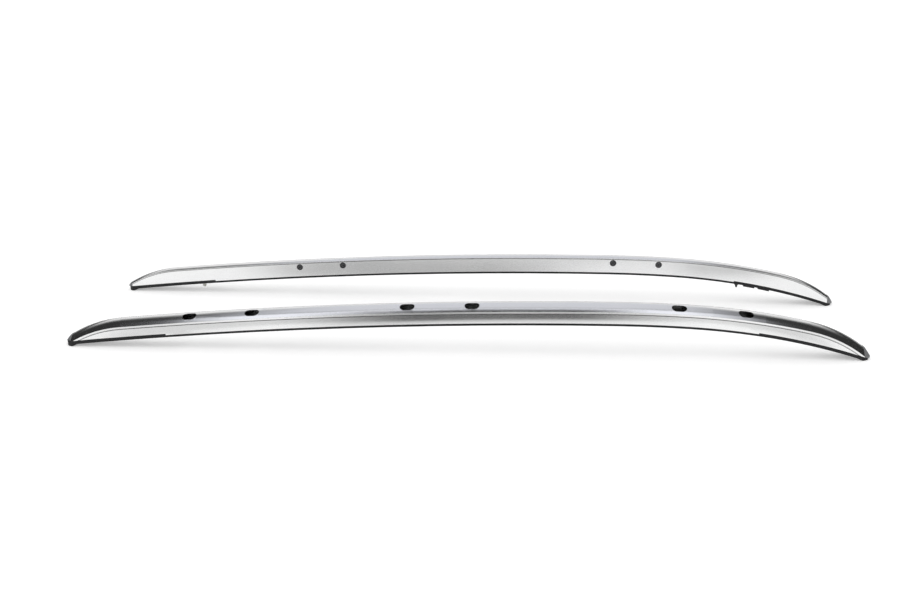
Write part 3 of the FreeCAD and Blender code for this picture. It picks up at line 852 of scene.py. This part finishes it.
@dataclass
class Studio:
    """Plain pale floor, white surroundings, broad overhead lights and cards about the rails that
    paint darker reflections.

    Args:
        floor_size: width of the square floor, in metres.
        floor_colour: the floor's colour.
        floor_roughness: the floor's roughness.
        dust_colour: colour of the floor's paler patches.
        dust_size: size of these patches, in metres.
        dust_contrast: contrast of these patches.
        seen_glow: glow of the floor where it is seen directly.
        mirrored_glow: glow of the floor in reflections.
        fill: even light from all around.
        horizon: brightness of the horizon in reflections, across the rails.
        sides: brightness of the horizon in reflections, beyond the rails' ends.
        sides_from: how far along X a reflection points where the sides begin.
        sides_full: how far along X it points where they are full.
        upper_dark: brightness of the room above in reflections.
        dark_from: how far up a reflection points where the horizon begins to darken.
        dark_to: how far up it points where only the dark room is left.
        sheets: the lights overhead and the cards that paint darker reflections.
    """

    floor_size: float = 30.0
    floor_colour: Colour = (0.90, 0.90, 0.90)
    floor_roughness: float = 0.9
    dust_colour: Colour = (0.92, 0.92, 0.92)
    dust_size: float = 0.9
    dust_contrast: float = 0.4
    seen_glow: float = 0.34
    mirrored_glow: float = 0.27
    fill: float = 0.86
    horizon: float = 0.90
    sides: float = 0.06
    sides_from: float = 0.35
    sides_full: float = 0.85
    upper_dark: float = 0.02
    dark_from: float = 0.06
    dark_to: float = 0.30
    sheets: tuple[Sheet, ...] = (
        Sheet("middle_light", 1.72, Ramp(-1.50, -0.80, 0.70, 1.40), Ramp(-0.5, 0.3, 2.2, 3.2), 0.74,
              mirrored=COOL_LIGHT),
        Sheet("back_light", 1.74, Ramp(-3.9, -2.7, 2.1, 3.2), Ramp(0.6, 2.6, 5.5, 6.5), 0.95),
        Sheet("front_light", 1.70, Ramp(-1.45, -1.15, 0.80, 1.50), Ramp(-1.6, -1.2, -0.25, 0.0), 1.14,
              mirrored=COOL_LIGHT),
        # Painted reflection: front_shade is a dim patch in the plane of the front light that only
        # reflections show.
        Sheet("front_shade", 1.68, Ramp(-0.95, -0.30, 0.35, 0.65), Ramp(-1.7, -1.5, -0.35, -0.22),
              0.04, lights=False),
        # Painted reflections and painted shade: the cards on the floor are darker patches that only
        # reflections show, which darken the rails' sides where they mirror the floor.
        Sheet("front_card", 0.0015, Ramp(-0.48, -0.12, 0.25, 0.62), Ramp(-0.58, -0.42, -0.34, -0.29),
              0.12, lights=False),
        Sheet("rail_card", 0.001, Ramp(-0.95, -0.75, 0.75, 0.95), Ramp(-0.41, -0.35, -0.31, -0.25),
              0.74, lights=False),
        Sheet("middle_card", 0.001, Ramp(-0.72, -0.40, 0.0, 0.40), Ramp(-0.22, -0.12, -0.01, 0.08),
              0.47, lights=False),
        Sheet("side_card", 0.001, Ramp(0.48, 0.63, 0.69, 0.84), Ramp(-0.23, -0.14, -0.12, -0.03),
              0.55, lights=False),
    )

    def build(self) -> None:
        """Make the floor, the sheets and the surroundings."""
        self.make_floor()
        for sheet in self.sheets:
            sheet.build()
        self.make_world()

    def make_floor(self) -> None:
        """Make a broad matt floor at Z = 0 that keeps soft shadows."""
        mesh = bmesh.new()
        bmesh.ops.create_grid(mesh, x_segments=2, y_segments=2, size=self.floor_size / 2)
        floor = linked(mesh, "floor")
        material, nodes, shader = start_material("floor_white")
        dust = place_group(nodes, "clouding", Size=self.dust_size, Contrast=self.dust_contrast)
        nodes.feed(shader, "Base Color", nodes.mix(
            dust.outputs["Patches"], rgba(self.floor_colour), rgba(self.dust_colour)))
        nodes.feed(shader, "Roughness", self.floor_roughness)
        nodes.feed(shader, "Specular IOR Level", 0.0)
        path = nodes.add("ShaderNodeLightPath")
        seen = nodes.maths("MULTIPLY", path.outputs["Is Camera Ray"], self.seen_glow)
        mirrored = nodes.maths("MULTIPLY", path.outputs["Is Glossy Ray"], self.mirrored_glow)
        glow = nodes.add("ShaderNodeEmission", Color=rgba(WHITE),
                         Strength=nodes.maths("ADD", seen, mirrored))
        both = nodes.add("ShaderNodeAddShader")
        nodes.feed(both, 0, shader.outputs[0])
        nodes.feed(both, 1, glow.outputs[0])
        nodes.feed(nodes.tree.nodes["Material Output"], "Surface", both.outputs[0])
        floor.data.materials.append(material)

    def make_world(self) -> None:
        """Make even fill light and, for reflections, a pale horizon below a darker room."""
        world = bpy.data.worlds.new("surroundings")
        world.use_nodes = True
        bpy.context.scene.world = world
        nodes = NodeTree(world.node_tree)
        background = world.node_tree.nodes["Background"]
        place = nodes.add("ShaderNodeTexCoord")
        split = nodes.add("ShaderNodeSeparateXYZ", Vector=place.outputs["Generated"])
        sideways = nodes.smooth(nodes.maths("ABSOLUTE", split.outputs["X"]), self.sides_from,
                                self.sides_full)
        level = nodes.mix(sideways, rgba((self.horizon,) * 3), rgba((self.sides,) * 3))
        upward = nodes.smooth(split.outputs["Z"], self.dark_from, self.dark_to)
        room = nodes.mix(upward, level, rgba((self.upper_dark,) * 3))
        path = nodes.add("ShaderNodeLightPath")
        glossy = nodes.mix(path.outputs["Is Glossy Ray"], rgba((self.fill,) * 3), room)
        seen = nodes.maths("MAXIMUM", path.outputs["Is Camera Ray"],
                           path.outputs["Is Transmission Ray"])
        nodes.feed(background, "Color", nodes.mix(seen, glossy, rgba(WHITE)))


@dataclass
class Camera:
    """Camera at the photograph's viewing angle, for a 920 by 613 image.

    Args:
        focal_px: focal length in pixels.
        image_width: width of the image in pixels.
        down_deg: how far it looks down.
        turn_deg: how far it turns to the right of +Y.
        roll_deg: how far it leans about its own axis.
        place: where it stands, in metres.
        sensor_mm: width of its sensor.
        nearest: the nearest distance that it sees, in metres.
        farthest: the farthest distance that it sees, in metres.
    """

    focal_px: float = 1104.0
    image_width: float = 920.0
    down_deg: float = 19.592
    turn_deg: float = -4.911
    roll_deg: float = -0.552
    place: tuple[float, float, float] = (0.202, -2.481, 0.9225)
    sensor_mm: float = 36.0
    nearest: float = 0.05
    farthest: float = 100.0

    def build(self) -> None:
        """Make the camera and use it."""
        down, turn, roll = (math.radians(a) for a in (self.down_deg, self.turn_deg, self.roll_deg))
        forward = Vector((math.sin(turn) * math.cos(down), math.cos(turn) * math.cos(down),
                          -math.sin(down)))
        level = Vector((math.cos(turn), -math.sin(turn), 0.0))
        upright = level.cross(forward)
        right = level * math.cos(roll) + upright * math.sin(roll)
        up = upright * math.cos(roll) - level * math.sin(roll)
        data = bpy.data.cameras.new("camera")
        data.sensor_width = self.sensor_mm
        data.lens = self.focal_px / self.image_width * self.sensor_mm
        data.clip_start = self.nearest
        data.clip_end = self.farthest
        camera = bpy.data.objects.new("camera", data)
        bpy.context.scene.collection.objects.link(camera)
        axes = Matrix((right, up, -forward)).transposed().to_4x4()
        camera.matrix_world = Matrix.Translation(self.place) @ axes
        bpy.context.scene.camera = camera


def main() -> None:
    """Build the camera, the studio and both rails."""
    logging.basicConfig(level=logging.INFO, format="%(message)s")
    bpy.context.scene.view_settings.view_transform = "Standard"
    Camera().build()
    Studio().build()
    finishes = Finishes()
    for side in Side:
        RoofRail(side, finishes).build()


if __name__ == "__main__":
    main()
